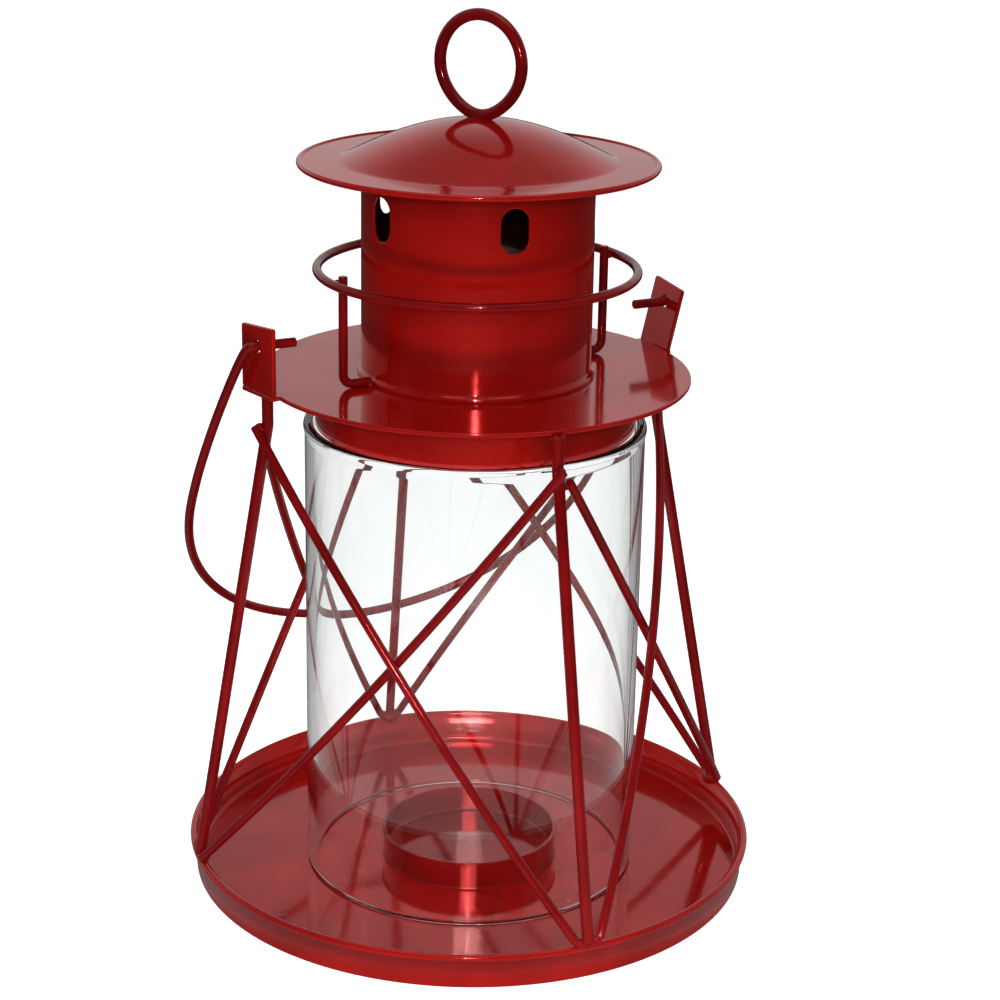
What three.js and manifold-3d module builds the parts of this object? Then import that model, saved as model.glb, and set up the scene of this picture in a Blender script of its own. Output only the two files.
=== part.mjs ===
// Lighthouse candle lantern: a shallow tray on the ground, a glass sleeve standing in it, four splayed
// wire legs with crossed wire braces carrying a round deck, a vented chimney with a wire gallery rail,
// a lift-off cap with a wire ring on top, and a wire bail that swings on two upright ears.
//
// Millimetres, +Z up. The origin is the centre of the tray's underside. The left leg stands at about -X,
// the front leg at -Y, the right leg at +X and the back leg at +Y.

import * as THREE from 'three';
import { mergeVertices } from 'three/addons/utils/BufferGeometryUtils.js';
import Module from 'manifold-3d';

const wasm = await Module();
wasm.setup();

// ---- driving dimensions --------------------------------------------------------------------------

const GAP = 0.3;                    // clearance kept between pieces that touch on the real lantern
const SHEET = 0.8;                  // thickness of the spun and rolled sheet
const PLATE = 1.2;                  // thickness of the deck and the ears

const TRAY_RADIUS = 77.5;
const TRAY_HEIGHT = 10;
const TRAY_FLOOR = 1;
const TRAY_BEAD = 0.9;              // radius of the rolled rim

const CUP_RADIUS = 24.5;
const CUP_HEIGHT = 7.8;
const CUP_WALL = 0.7;

const GLASS_RADIUS = 45.1;
const GLASS_WALL = 2.4;
const GLASS_TOP = 127.3;
const GLASS_LIP = 0.4;              // how far the rounded lip stands out

const DECK_RADIUS = 56.5;
const DECK_TOP = 140.4;
const DECK_HOLE_RADIUS = 29;
const COLLAR_RADIUS = 42.3;
const COLLAR_BOTTOM = 126.4;

const CHIMNEY_RADIUS = 30.2;
const CHIMNEY_TOP = 197.8;
const CHIMNEY_FOOT_RADIUS = 31;
const CHIMNEY_FOOT_HEIGHT = 1.3;
const VENT_COUNT = 5;
const VENT_FIRST_ANGLE = -94.1;     // degrees round from +X
const VENT_WIDTH = 7.4;
const VENT_HEIGHT = 11.4;
const VENT_CENTRE_Z = 184;

const RAIL_RADIUS = 41.6;
const RAIL_WIRE = 2.4;
const RAIL_Z = 167.8;
const RAIL_POST_ANGLE = 8.2;        // the right post; the left post stands opposite
const RAIL_POST_TIP = 0.9;          // how far a post's tip stands above the rail wire

const CAP_RADIUS = 46.75;
const CAP_BEAD = 0.8;
const CAP_BRIM_Z = 195.7;
const CAP_DOME_RADIUS = 36;
const CAP_APEX = 206.9;
const SKIRT_RADIUS = 28.9;
const SKIRT_BOTTOM = 190.6;
const SKIRT_TOP = 198.4;

const FINIAL_RADIUS = 12.15;
const FINIAL_WIRE = 3.1;
const FINIAL_ANGLE = -54;           // degrees from +X to the plane of the ring

const LEG_WIRE = 3;
const LEG_TOP_RADIUS = 57.2;
const LEG_BEND_Z = 131;
const LEG_FOOT_RADIUS = 76.6;
const BRACE_WIRE = 2.4;
const BRACE_SIDE_STEP = 3.3;        // a brace end sits this far to the side of the leg
const BRACE_SIDE_DROP = 4;          // and its top starts this far below the leg's bend
const BRACE_OVER_STEP = 5;          // an overlapping brace end sits this far outside the leg

const EAR_ANGLE = 4.5;              // the ears and the bail are turned this far round from the legs
const EAR_OFFSET_Y = 4.5;
const EAR_INNER_FACE = 59;          // from the middle plane to an ear's inner face, at its hole
const EAR_WIDTH = 14.5;
const EAR_ABOVE_HOLE = 5.3;
const EAR_TOP_SLANT = 0.6;          // half the drop of the top edge from corner to corner
const EAR_HOLE_RADIUS = 2.1;
const DECK_TAB_LENGTH = 16;

const BAIL_WIRE = 2.5;
const BAIL_PIVOT_Z = 152.2;
const BAIL_HANG_ANGLE = 33.5;       // degrees from straight down, swung to the back
const BAIL_PEG_TIP = 49.5;
const BAIL_ARM_START = 62.8;        // half the width at the ears
const BAIL_HALF_WIDTH = 66.6;       // half the width at the widest place
const BAIL_BEND_RADIUS = 1.9;
const BAIL_BULGE_DEPTH = 52;        // depth of the widest place below the pivot
const BAIL_DEPTH = 126.8;
const BAIL_BOTTOM_STEPS = 10;
const BAIL_BOTTOM_FULLNESS = 0.83;  // 1 would make the bottom a half ellipse

// ---- materials -----------------------------------------------------------------------------------

const redEnamel = new THREE.MeshStandardMaterial({ color: 0x8e1f1a, roughness: 0.16, metalness: 0 });
const redWire = new THREE.MeshStandardMaterial({ color: 0x8a1a1c, roughness: 0.22, metalness: 0 });
const clearGlass = new THREE.MeshStandardMaterial({
  color: 0xe8f0ee, roughness: 0.03, metalness: 0, transparent: true, opacity: 0.25,
});

// ---- helpers -------------------------------------------------------------------------------------

const lantern = new THREE.Group();
const radians = THREE.MathUtils.degToRad;

function addPart(name, geometry, material, parent = lantern) {
  const mesh = new THREE.Mesh(geometry, material);
  mesh.name = name;
  parent.add(mesh);
  return mesh;
}

// A solid of revolution about Z. The outline is [radius, height] pairs, counter-clockwise.
function turned(outline, segments) {
  const points = outline.map(([radius, height]) => new THREE.Vector2(radius, height));
  return new THREE.LatheGeometry(points, segments).rotateX(Math.PI / 2);
}

// A plain pipe section: an upright ring of sheet.
function pipe(outerRadius, wall, bottom, top, segments) {
  const innerRadius = outerRadius - wall;
  return turned([
    [innerRadius, bottom], [outerRadius, bottom], [outerRadius, top], [innerRadius, top],
    [innerRadius, bottom],
  ], segments);
}

// Points of an arc in the [radius, height] plane, angles in degrees.
function arc(centreRadius, centreHeight, radius, from, to, steps) {
  return Array.from({ length: steps + 1 }, (_, i) => {
    const angle = radians(from + (to - from) * i / steps);
    return [centreRadius + radius * Math.cos(angle), centreHeight + radius * Math.sin(angle)];
  });
}

// A curve through its points that gives each stretch between two points the same number of steps,
// so that tight bends stay round and straight runs stay light.
class WirePath extends THREE.CatmullRomCurve3 {
  getUtoTmapping(u) {
    return u;
  }
}

function wire(curve, diameter, steps, sides = 8) {
  const section = new THREE.Shape(Array.from({ length: sides }, (_, i) => {
    const angle = 2 * Math.PI * i / sides;
    return new THREE.Vector2(Math.cos(angle), Math.sin(angle)).multiplyScalar(diameter / 2);
  }));
  return new THREE.ExtrudeGeometry(section, { steps, bevelEnabled: false, extrudePath: curve });
}

function bentWire(points, diameter, stepsPerStretch = 1) {
  const curve = new WirePath(points, false, 'centripetal');
  return wire(curve, diameter, (points.length - 1) * stepsPerStretch);
}

function wireRing(radius, diameter, sides, segments) {
  return new THREE.TorusGeometry(radius, diameter / 2, sides, segments);
}

function toSolid(geometry) {
  const bare = geometry.clone();
  bare.deleteAttribute('normal');
  bare.deleteAttribute('uv');
  const merged = mergeVertices(bare, 1e-5);
  const mesh = new wasm.Mesh({
    numProp: 3,
    vertProperties: new Float32Array(merged.attributes.position.array),
    triVerts: new Uint32Array(merged.index.array),
  });
  mesh.merge();
  return new wasm.Manifold(mesh);
}

function fromSolid(solid) {
  const mesh = solid.getMesh();
  const geometry = new THREE.BufferGeometry();
  geometry.setAttribute('position', new THREE.BufferAttribute(mesh.vertProperties, 3));
  geometry.setIndex(new THREE.BufferAttribute(mesh.triVerts, 1));
  geometry.computeVertexNormals();
  return geometry;
}

// The direction at an angle round the lantern, and a place in a leg's own directions:
// out from the axis, sideways (counter-clockwise seen from above) and up.
function placeByLeg(angle, out, side, height) {
  const a = radians(angle);
  return new THREE.Vector3(
    out * Math.cos(a) - side * Math.sin(a),
    out * Math.sin(a) + side * Math.cos(a),
    height,
  );
}

// ---- tray, candle cup and glass ------------------------------------------------------------------

function buildTray() {
  const beadRadius = TRAY_RADIUS - TRAY_BEAD;
  const beadHeight = TRAY_HEIGHT - TRAY_BEAD;
  return turned([
    [0, 0],
    [TRAY_RADIUS - 2.4, 0],
    [TRAY_RADIUS - 1.6, 0.8],
    ...arc(beadRadius, beadHeight, TRAY_BEAD, -90, 180, 6),
    [TRAY_RADIUS - 2.5, TRAY_FLOOR + 0.7],
    [TRAY_RADIUS - 3.2, TRAY_FLOOR],
    [0, TRAY_FLOOR],
  ], 72);
}

function buildCup() {
  const base = TRAY_FLOOR + GAP;
  const top = base + CUP_HEIGHT;
  const side = CUP_RADIUS - 0.5;
  return turned([
    [0, base],
    [side - 0.8, base],
    [side, base + 0.7],
    [side, top - 0.9],
    [CUP_RADIUS, top - 0.6],
    [CUP_RADIUS, top],
    [side - CUP_WALL, top],
    [side - CUP_WALL, base + CUP_WALL],
    [0, base + CUP_WALL],
  ], 48);
}

function buildGlass() {
  const base = TRAY_FLOOR + GAP;
  const inner = GLASS_RADIUS - GLASS_WALL;
  return turned([
    [inner + 0.5, base],
    [GLASS_RADIUS - 0.5, base],
    [GLASS_RADIUS, base + 0.5],
    [GLASS_RADIUS, GLASS_TOP - 3],
    [GLASS_RADIUS + GLASS_LIP, GLASS_TOP - 1.4],
    [GLASS_RADIUS - 0.2, GLASS_TOP],
    [inner + 0.5, GLASS_TOP],
    [inner, GLASS_TOP - 0.7],
    [inner, base + 0.5],
    [inner + 0.5, base],
  ], 64);
}

addPart('base_tray', buildTray(), redEnamel);
addPart('candle_cup', buildCup(), redEnamel);
addPart('glass_cylinder', buildGlass(), clearGlass);

// ---- deck, ears and glass collar -----------------------------------------------------------------

// The ears were bent by hand: degrees that each one leans out and is twisted about the upright.
const ears = [
  { name: 'left', side: -1, lean: 0, twist: 11 },
  { name: 'right', side: 1, lean: 13.5, twist: 0 },
];

// The ears, the deck's tabs and the bail share a frame that is turned a little round from the legs.
// Its X axis is the bail's hinge line.
function inEarFrame(geometry) {
  return geometry.rotateZ(radians(EAR_ANGLE)).translate(0, EAR_OFFSET_Y, 0);
}

// Puts a piece drawn outward along +X from an ear's inner face in that ear's place.
function atEar(geometry, ear) {
  geometry.rotateZ(radians(ear.side > 0 ? ear.twist : 180 + ear.twist));
  return inEarFrame(geometry.translate(ear.side * EAR_INNER_FACE, 0, 0));
}

function buildDeck() {
  const underside = DECK_TOP - PLATE;
  const disc = toSolid(pipe(DECK_RADIUS, DECK_RADIUS - DECK_HOLE_RADIUS, underside, DECK_TOP, 64));
  const tabs = ears.map((ear) => {
    const footHeight = BAIL_PIVOT_Z - DECK_TOP;
    const reach = PLATE - footHeight * Math.tan(radians(ear.lean)) + GAP;
    const tab = new THREE.BoxGeometry(DECK_TAB_LENGTH, EAR_WIDTH, PLATE);
    tab.translate(reach - DECK_TAB_LENGTH / 2, 0, underside + PLATE / 2);
    return toSolid(atEar(tab, ear));
  });
  return fromSolid(tabs.reduce((plate, tab) => plate.add(tab), disc));
}

// An ear stands on its tab and leans out about its hole.
function buildEar(ear) {
  const lean = radians(ear.lean);
  const half = EAR_WIDTH / 2;
  const foot = (BAIL_PIVOT_Z - DECK_TOP - GAP - PLATE * Math.sin(lean)) / Math.cos(lean);
  const outline = new THREE.Shape();
  outline.moveTo(-half, -foot);
  outline.lineTo(half, -foot);
  outline.lineTo(half, EAR_ABOVE_HOLE + EAR_TOP_SLANT);
  outline.lineTo(-half, EAR_ABOVE_HOLE - EAR_TOP_SLANT);
  const hole = new THREE.Path();
  hole.absarc(0, 0, EAR_HOLE_RADIUS, 0, 2 * Math.PI, true);
  outline.holes.push(hole);
  const plate = new THREE.ExtrudeGeometry(outline, { depth: PLATE, bevelEnabled: false, curveSegments: 6 });
  plate.rotateX(Math.PI / 2).rotateZ(Math.PI / 2).rotateY(lean).translate(0, 0, BAIL_PIVOT_Z);
  return atEar(plate, ear);
}

addPart('deck_plate', buildDeck(), redEnamel);
const collarTop = DECK_TOP - PLATE - GAP;
addPart('glass_collar', pipe(COLLAR_RADIUS, SHEET, COLLAR_BOTTOM, collarTop, 56), redEnamel);
for (const ear of ears) {
  addPart(`ear_${ear.name}`, buildEar(ear), redEnamel);
}

// ---- chimney and gallery rail --------------------------------------------------------------------

function buildVentCutter(angle) {
  const straight = VENT_HEIGHT - VENT_WIDTH;
  const outline = new THREE.Shape();
  outline.absarc(0, straight / 2, VENT_WIDTH / 2, 0, Math.PI, false);
  outline.absarc(0, -straight / 2, VENT_WIDTH / 2, Math.PI, 2 * Math.PI, false);
  const cutter = new THREE.ExtrudeGeometry(outline, { depth: 12, bevelEnabled: false, curveSegments: 6 });
  cutter.rotateX(Math.PI / 2).rotateZ(Math.PI / 2).rotateZ(radians(angle));
  const start = placeByLeg(angle, CHIMNEY_RADIUS - 6, 0, VENT_CENTRE_Z);
  return toSolid(cutter.translate(start.x, start.y, start.z));
}

function buildChimney() {
  const base = DECK_TOP + GAP;
  const inner = CHIMNEY_RADIUS - SHEET;
  const tube = turned([
    [inner, base],
    [CHIMNEY_FOOT_RADIUS, base],
    [CHIMNEY_FOOT_RADIUS, base + CHIMNEY_FOOT_HEIGHT - 0.3],
    [CHIMNEY_RADIUS, base + CHIMNEY_FOOT_HEIGHT],
    [CHIMNEY_RADIUS, CHIMNEY_TOP],
    [inner, CHIMNEY_TOP],
    [inner, base],
  ], 60);
  let chimney = toSolid(tube);
  for (let i = 0; i < VENT_COUNT; i += 1) {
    chimney = chimney.subtract(buildVentCutter(VENT_FIRST_ANGLE + i * 360 / VENT_COUNT));
  }
  return fromSolid(chimney);
}

// A post stands inside the rail; its foot turns in along the deck to the chimney.
function buildRailPost(angle) {
  const out = RAIL_RADIUS - RAIL_WIRE - GAP - 0.05;
  const lowest = DECK_TOP + GAP + RAIL_WIRE / 2 + 0.1;
  return bentWire([
    placeByLeg(angle, out, 0, RAIL_Z + RAIL_WIRE / 2 + RAIL_POST_TIP),
    placeByLeg(angle, out, 0, lowest + 13),
    placeByLeg(angle, out, 0, lowest + 2.6),
    placeByLeg(angle, out - 0.9, 0, lowest + 0.9),
    placeByLeg(angle, out - 2.8, 0, lowest),
    placeByLeg(angle, CHIMNEY_FOOT_RADIUS + 1, 0, lowest),
  ], RAIL_WIRE, 2);
}

addPart('chimney_tube', buildChimney(), redEnamel);
addPart('gallery_rail', wireRing(RAIL_RADIUS, RAIL_WIRE, 8, 60).translate(0, 0, RAIL_Z), redWire);
addPart('rail_post_right', buildRailPost(RAIL_POST_ANGLE), redWire);
addPart('rail_post_left', buildRailPost(RAIL_POST_ANGLE + 180), redWire);

// ---- legs and braces -----------------------------------------------------------------------------

// The wires were bent and welded by hand. Degrees round from +X of each leg's top and foot, and which
// way its overlapping brace runs: 1 is counter-clockwise seen from above.
const legs = [
  { name: 'right', topAngle: 10.4, footAngle: 0.8, overlap: 1 },
  { name: 'back', topAngle: 87.8, footAngle: 88.6, overlap: -1 },
  { name: 'left', topAngle: 180, footAngle: 176.6, overlap: 1 },
  { name: 'front', topAngle: 268.7, footAngle: 271.4, overlap: -1 },
];

// How far each brace bows away from the glass and how far it sags half way along.
const braceBends = {
  right_to_back: { bow: 2, sag: -2 },
  right_to_front: { bow: 6, sag: -4 },
  back_to_left: { bow: 0.6, sag: 0 },
  back_to_right: { bow: 2.4, sag: -2 },
  left_to_front: { bow: 4.6, sag: 0 },
  left_to_back: { bow: 4.7, sag: 0 },
  front_to_right: { bow: 1.2, sag: 1 },
  front_to_left: { bow: 2.2, sag: 4 },
};

function buildLeg(leg) {
  const bend = placeByLeg(leg.topAngle, LEG_TOP_RADIUS, 0, LEG_BEND_Z);
  const top = bend.clone().setZ(DECK_TOP - PLATE - GAP);
  const foot = placeByLeg(leg.footAngle, LEG_FOOT_RADIUS, 0, TRAY_HEIGHT + GAP + 0.3);
  const path = new THREE.CurvePath();
  path.add(new THREE.LineCurve3(top, bend));
  path.add(new THREE.LineCurve3(bend, foot));
  return wire(path, LEG_WIRE, 16, 10);
}

// A brace runs from the top of one leg to the foot of the next one round. Direction is 1 for
// counter-clockwise seen from above. Each leg has one brace laid over its outside and one beside it.
function buildBrace(leg, next, direction, bend) {
  const top = leg.overlap === direction
    ? placeByLeg(leg.topAngle, LEG_TOP_RADIUS + BRACE_OVER_STEP, -1.2 * direction, LEG_BEND_Z + 0.5)
    : placeByLeg(leg.topAngle, LEG_TOP_RADIUS, BRACE_SIDE_STEP * direction, LEG_BEND_Z - BRACE_SIDE_DROP);
  const footSide = -BRACE_SIDE_STEP * direction;
  const foot = placeByLeg(next.footAngle, LEG_FOOT_RADIUS, footSide, TRAY_HEIGHT + GAP + 0.8);
  const middle = top.clone().add(foot).multiplyScalar(0.5);
  middle.addScaledVector(placeByLeg(leg.footAngle + 45 * direction, 1, 0, 0), 2 * bend.bow);
  middle.z -= 2 * bend.sag;
  return wire(new THREE.QuadraticBezierCurve3(top, middle, foot), BRACE_WIRE, 12);
}

legs.forEach((leg, index) => {
  addPart(`leg_${leg.name}`, buildLeg(leg), redWire);
  for (const direction of [1, -1]) {
    const next = legs[(index + direction + legs.length) % legs.length];
    const run = `${leg.name}_to_${next.name}`;
    addPart(`brace_${run}`, buildBrace(leg, next, direction, braceBends[run]), redWire);
  }
});

// ---- bail ----------------------------------------------------------------------------------------

// One side of the bail as [half-width, depth] pairs, from the peg's tip to just short of the middle:
// a straight peg, a tight bend outside the ear, an arm that bulges a little and a round bottom.
function bailSide() {
  const bend = BAIL_BEND_RADIUS;
  const peg = [[BAIL_PEG_TIP, 0], [BAIL_ARM_START - bend - 0.3, 0]];
  const corner = arc(BAIL_ARM_START - bend, bend, bend, -70, -10, 3);
  const bulge = BAIL_HALF_WIDTH - BAIL_ARM_START;
  const arm = [0.12, 0.4, 0.7, 1].map((share) => [
    BAIL_ARM_START + bulge * (1 - (1 - share) ** 2),
    BAIL_BULGE_DEPTH * share,
  ]);
  const bottom = Array.from({ length: BAIL_BOTTOM_STEPS - 1 }, (_, i) => {
    const angle = 0.5 * Math.PI * (i + 1) / BAIL_BOTTOM_STEPS;
    const reach = Math.sin(angle) ** BAIL_BOTTOM_FULLNESS;
    return [BAIL_HALF_WIDTH * Math.cos(angle), BAIL_BULGE_DEPTH + (BAIL_DEPTH - BAIL_BULGE_DEPTH) * reach];
  });
  return [...peg, ...corner, ...arm, ...bottom];
}

function buildBail() {
  const side = bailSide();
  const outline = [
    ...side.map(([half, depth]) => new THREE.Vector3(-half, 0, -depth)),
    new THREE.Vector3(0, 0, -BAIL_DEPTH),
    ...side.reverse().map(([half, depth]) => new THREE.Vector3(half, 0, -depth)),
  ];
  const bail = bentWire(outline, BAIL_WIRE, 2);
  bail.rotateX(radians(BAIL_HANG_ANGLE)).translate(0, 0, BAIL_PIVOT_Z);
  return inEarFrame(bail);
}

addPart('bail_handle', buildBail(), redWire);

// ---- cap -----------------------------------------------------------------------------------------

// Height of the cap's upper face: a low dome that runs out into a nearly flat brim.
function capHeight(radius) {
  const brim = CAP_BRIM_Z + SHEET / 2 + 0.3 * (CAP_RADIUS - radius) / (CAP_RADIUS - CAP_DOME_RADIUS);
  if (radius >= CAP_DOME_RADIUS) {
    return brim;
  }
  const foot = CAP_BRIM_Z + SHEET / 2 + 0.3;
  return foot + (CAP_APEX - foot) * (1 - (radius / CAP_DOME_RADIUS) ** 2) ** 1.15;
}

function buildCap() {
  const rim = CAP_RADIUS - CAP_BEAD;
  const upper = [44, 40, 36, 33.5, 30, 26, 21, 16, 11, 5.5, 0].map((radius) => [radius, capHeight(radius)]);
  const under = upper.map(([radius, height]) => [radius, height - SHEET]).reverse();
  return turned([
    ...under,
    ...arc(rim, CAP_BRIM_Z, CAP_BEAD, -120, 120, 5),
    ...upper,
  ], 64);
}

const cap = new THREE.Group();
lantern.add(cap);
addPart('cap_shell', buildCap(), redEnamel, cap);
addPart('cap_skirt', pipe(SKIRT_RADIUS, SHEET, SKIRT_BOTTOM, SKIRT_TOP, 48), redEnamel, cap);

const finial = wireRing(FINIAL_RADIUS, FINIAL_WIRE, 10, 40);
finial.rotateX(Math.PI / 2).rotateZ(radians(FINIAL_ANGLE));
finial.translate(0, 0, CAP_APEX + GAP + FINIAL_WIRE / 2 + FINIAL_RADIUS);
addPart('finial_ring', finial, redWire, cap);

export default lantern;
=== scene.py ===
"""The looks of the red lighthouse candle lantern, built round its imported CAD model.

Shapes are worked out in millimetres and made into meshes in metres, in the CAD model's own frame:
+Z up, the left leg towards -X and the front leg towards -Y.
"""
import math

import bmesh
import bpy
from mathutils import Matrix, Vector


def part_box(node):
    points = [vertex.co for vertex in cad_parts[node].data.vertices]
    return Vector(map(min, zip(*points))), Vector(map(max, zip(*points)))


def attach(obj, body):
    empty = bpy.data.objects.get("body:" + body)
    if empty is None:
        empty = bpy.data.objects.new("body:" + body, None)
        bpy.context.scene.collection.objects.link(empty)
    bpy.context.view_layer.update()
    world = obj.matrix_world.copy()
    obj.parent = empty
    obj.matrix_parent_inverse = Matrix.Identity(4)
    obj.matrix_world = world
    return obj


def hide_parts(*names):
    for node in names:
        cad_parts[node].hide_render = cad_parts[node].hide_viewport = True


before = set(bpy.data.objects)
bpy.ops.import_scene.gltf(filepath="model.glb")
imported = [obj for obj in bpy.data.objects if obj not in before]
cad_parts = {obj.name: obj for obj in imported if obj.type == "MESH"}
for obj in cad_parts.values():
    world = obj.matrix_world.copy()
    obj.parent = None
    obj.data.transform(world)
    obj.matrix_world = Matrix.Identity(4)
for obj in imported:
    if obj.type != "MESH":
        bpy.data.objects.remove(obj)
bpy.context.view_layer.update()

MM = 0.001
SUPPORT = 0.05          # from a rounded edge to the row of points that keeps the face beside it flat
MERGE_GAP = 0.002       # points nearer to each other than this become one
SEGMENTS = 240          # steps round a turned piece
WIDE_SEGMENTS = 300
TRAY_SEGMENTS = 360
QUARTER_STEPS = 4
QUARTER = [math.radians(90 * k / QUARTER_STEPS) for k in range(QUARTER_STEPS + 1)]


def corner_mm(node, which):
    """The lowest (0) or highest (1) corner of a CAD node, in millimetres."""
    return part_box(node)[which] / MM


# ---- dimensions in millimetres, most of them those of the CAD model --------------------------------

SHEET = 0.8
PLATE = 1.2

TRAY_RADIUS = corner_mm("base_tray", 1).x
TRAY_HEIGHT = corner_mm("base_tray", 1).z
TRAY_FLOOR = 1.0
TRAY_BEAD = 0.9
TRAY_WALL_OUTSIDE = TRAY_RADIUS - 1.6
TRAY_WALL_INSIDE = TRAY_RADIUS - 2.45

CUP_RADIUS = corner_mm("candle_cup", 1).x
CUP_TOP = corner_mm("candle_cup", 1).z
CUP_WALL = 0.7

GLASS_RADIUS = 45.1
GLASS_WALL = 2.4
GLASS_TOP = corner_mm("glass_cylinder", 1).z
GLASS_LIP = 0.4
GLASS_SEAT_GAP = 0.06   # the glass all but stands on the tray, where the CAD model keeps more clearance

DECK_RADIUS = 56.5
DECK_TOP = corner_mm("deck_plate", 1).z
DECK_HOLE_RADIUS = 29.0
COLLAR_RADIUS = 42.3
COLLAR_BOTTOM = corner_mm("glass_collar", 0).z

CHIMNEY_RADIUS = 30.2
CHIMNEY_FOOT_RADIUS = 31.0
CHIMNEY_TOP = corner_mm("chimney_tube", 1).z
VENT_COUNT = 5
VENT_FIRST_ANGLE = -94.1
VENT_WIDTH = 7.4
VENT_HEIGHT = 11.4
VENT_Z = 184.0
VENT_LIP = 0.28

RAIL_RADIUS = 41.6
RAIL_WIRE = 2.4
RAIL_Z = 167.8
RAIL_POST_ANGLE = 8.2
POST_RAIL_GAP = 0.1
POST_ABOVE_RAIL = 0.9
POST_CHIMNEY_GAP = 0.3

CAP_RADIUS = 46.75
CAP_BEAD = 0.8
CAP_BRIM_Z = 195.7
CAP_BRIM_FALL = 0.3
CAP_DOME_RADIUS = 36.0
CAP_DOME_ROUNDNESS = 1.15
CAP_APEX = corner_mm("cap_shell", 1).z
SKIRT_RADIUS = 28.9
SKIRT_BOTTOM = corner_mm("cap_skirt", 0).z

FINIAL_RADIUS = 12.15
FINIAL_WIRE = 3.1
FINIAL_ANGLE = -54.0
FINIAL_DROP = 1.0       # how far the ring is drawn down where it is welded to the cap

LEG_WIRE = 3.0
LEG_TOP_RADIUS = 57.2
LEG_INTO_DECK = 0.05    # the CAD model's legs stop just short of the deck
LEG_BEND_Z = 131.0
LEG_BEND_RADIUS = 8
LEG_FOOT_RADIUS = 76.6
LEG_FOOT_Z = 10.5

BRACE_WIRE = 2.4
BRACE_LAP = 3.4         # one brace of each leg lies against the leg's outside, this far from its middle
BRACE_LAP_SIDE = 0.3
BRACE_SIDE_STEP = 3.3   # the other brace lies beside the leg, this far from its middle
BRACE_SIDE_DROP = 4.0
BRACE_FOOT_RISE = 1.1

EAR_ANGLE = 4.5
EAR_OFFSET_Y = 4.5
EAR_INNER_FACE = 59.0
EAR_WIDTH = 14.5
EAR_ABOVE_HOLE = 5.3
EAR_TOP_SLANT = 0.6
EAR_HOLE_RADIUS = 1.6   # narrower than the CAD model's, which leaves the bail more room

BAIL_WIRE = 2.5
BAIL_PIVOT_Z = 152.2
BAIL_HANG_ANGLE = 33.5
BAIL_PEG_TIP = 49.5
BAIL_ARM_START = 62.8
BAIL_HALF_WIDTH = 66.6
BAIL_BEND_RADIUS = 1.9
BAIL_BULGE_DEPTH = 52.0
BAIL_DEPTH = 126.8
BAIL_BOTTOM_STEPS = 10
BAIL_BOTTOM_FULLNESS = 0.83


# ---- materials -------------------------------------------------------------------------------------

def new_material(name):
    """An empty node material with its Principled shader, and its nodes and links."""
    material = bpy.data.materials.new(name)
    material.use_nodes = True
    nodes = material.node_tree.nodes
    return material, nodes["Principled BSDF"], nodes, material.node_tree.links


def noise(nodes, links, place, scale, detail):
    """Smooth noise between 0 and 1."""
    texture = nodes.new("ShaderNodeTexNoise")
    texture.inputs["Scale"].default_value = scale
    texture.inputs["Detail"].default_value = detail
    links.new(place, texture.inputs["Vector"])
    return texture.outputs["Fac"]


def calculated(nodes, links, operation, first, second):
    """The result of one Math node on two values, each of them a number or another node's output."""
    node = nodes.new("ShaderNodeMath")
    node.operation = operation
    for socket, value in zip(node.inputs, (first, second)):
        if isinstance(value, float):
            socket.default_value = value
        else:
            links.new(value, socket)
    return node.outputs["Value"]


def length_of(nodes, links, vector):
    node = nodes.new("ShaderNodeVectorMath")
    node.operation = "LENGTH"
    links.new(vector, node.inputs[0])
    return node.outputs["Value"]


def remapped(nodes, links, value, before, after, interpolation="LINEAR"):
    """A value taken from the range before to the range after, and held at their ends."""
    node = nodes.new("ShaderNodeMapRange")
    node.interpolation_type = interpolation
    for socket, number in zip(("From Min", "From Max", "To Min", "To Max"), (*before, *after)):
        node.inputs[socket].default_value = number
    links.new(value, node.inputs["Value"])
    return node.outputs["Result"]


def drifting(nodes, links, place, deep, bright):
    """A colour that drifts from place to place between two."""
    ramp = nodes.new("ShaderNodeValToRGB")
    for element, position, colour in zip(ramp.color_ramp.elements, (0.34, 0.66), (deep, bright)):
        element.position = position
        element.color = (*colour, 1)
    links.new(noise(nodes, links, place, 45, 4), ramp.inputs["Fac"])
    return ramp.outputs["Color"]


def painted_shade_inside(nodes, links, place, colour, radius):
    """The colour, or a near-black painted shade nearer to the axis than radius."""
    flat = nodes.new("ShaderNodeVectorMath")
    flat.operation = "MULTIPLY"
    flat.inputs[1].default_value = (1, 1, 0)
    links.new(place, flat.inputs[0])
    from_axis = length_of(nodes, links, flat.outputs["Vector"])
    painted_shade = nodes.new("ShaderNodeMix")
    painted_shade.data_type = "RGBA"
    links.new(calculated(nodes, links, "LESS_THAN", from_axis, radius * MM), painted_shade.inputs["Factor"])
    links.new(colour, painted_shade.inputs["A"])
    # Near-black painted shade for the dark inside of the chimney.
    painted_shade.inputs["B"].default_value = (0.02, 0.002, 0.002, 1)
    return painted_shade.outputs["Result"]


def rippled(nodes, links, place, ripple):
    """A surface direction with bumps laid over each other. Each row of the ripple is the noise's scale
    and detail, the bump's strength, and its depth in millimetres."""
    normal = None
    for scale, detail, strength, depth in ripple:
        bump = nodes.new("ShaderNodeBump")
        bump.inputs["Strength"].default_value = strength
        bump.inputs["Distance"].default_value = depth * MM
        links.new(noise(nodes, links, place, scale, detail), bump.inputs["Height"])
        if normal is not None:
            links.new(normal, bump.inputs["Normal"])
        normal = bump.outputs["Normal"]
    return normal


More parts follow.
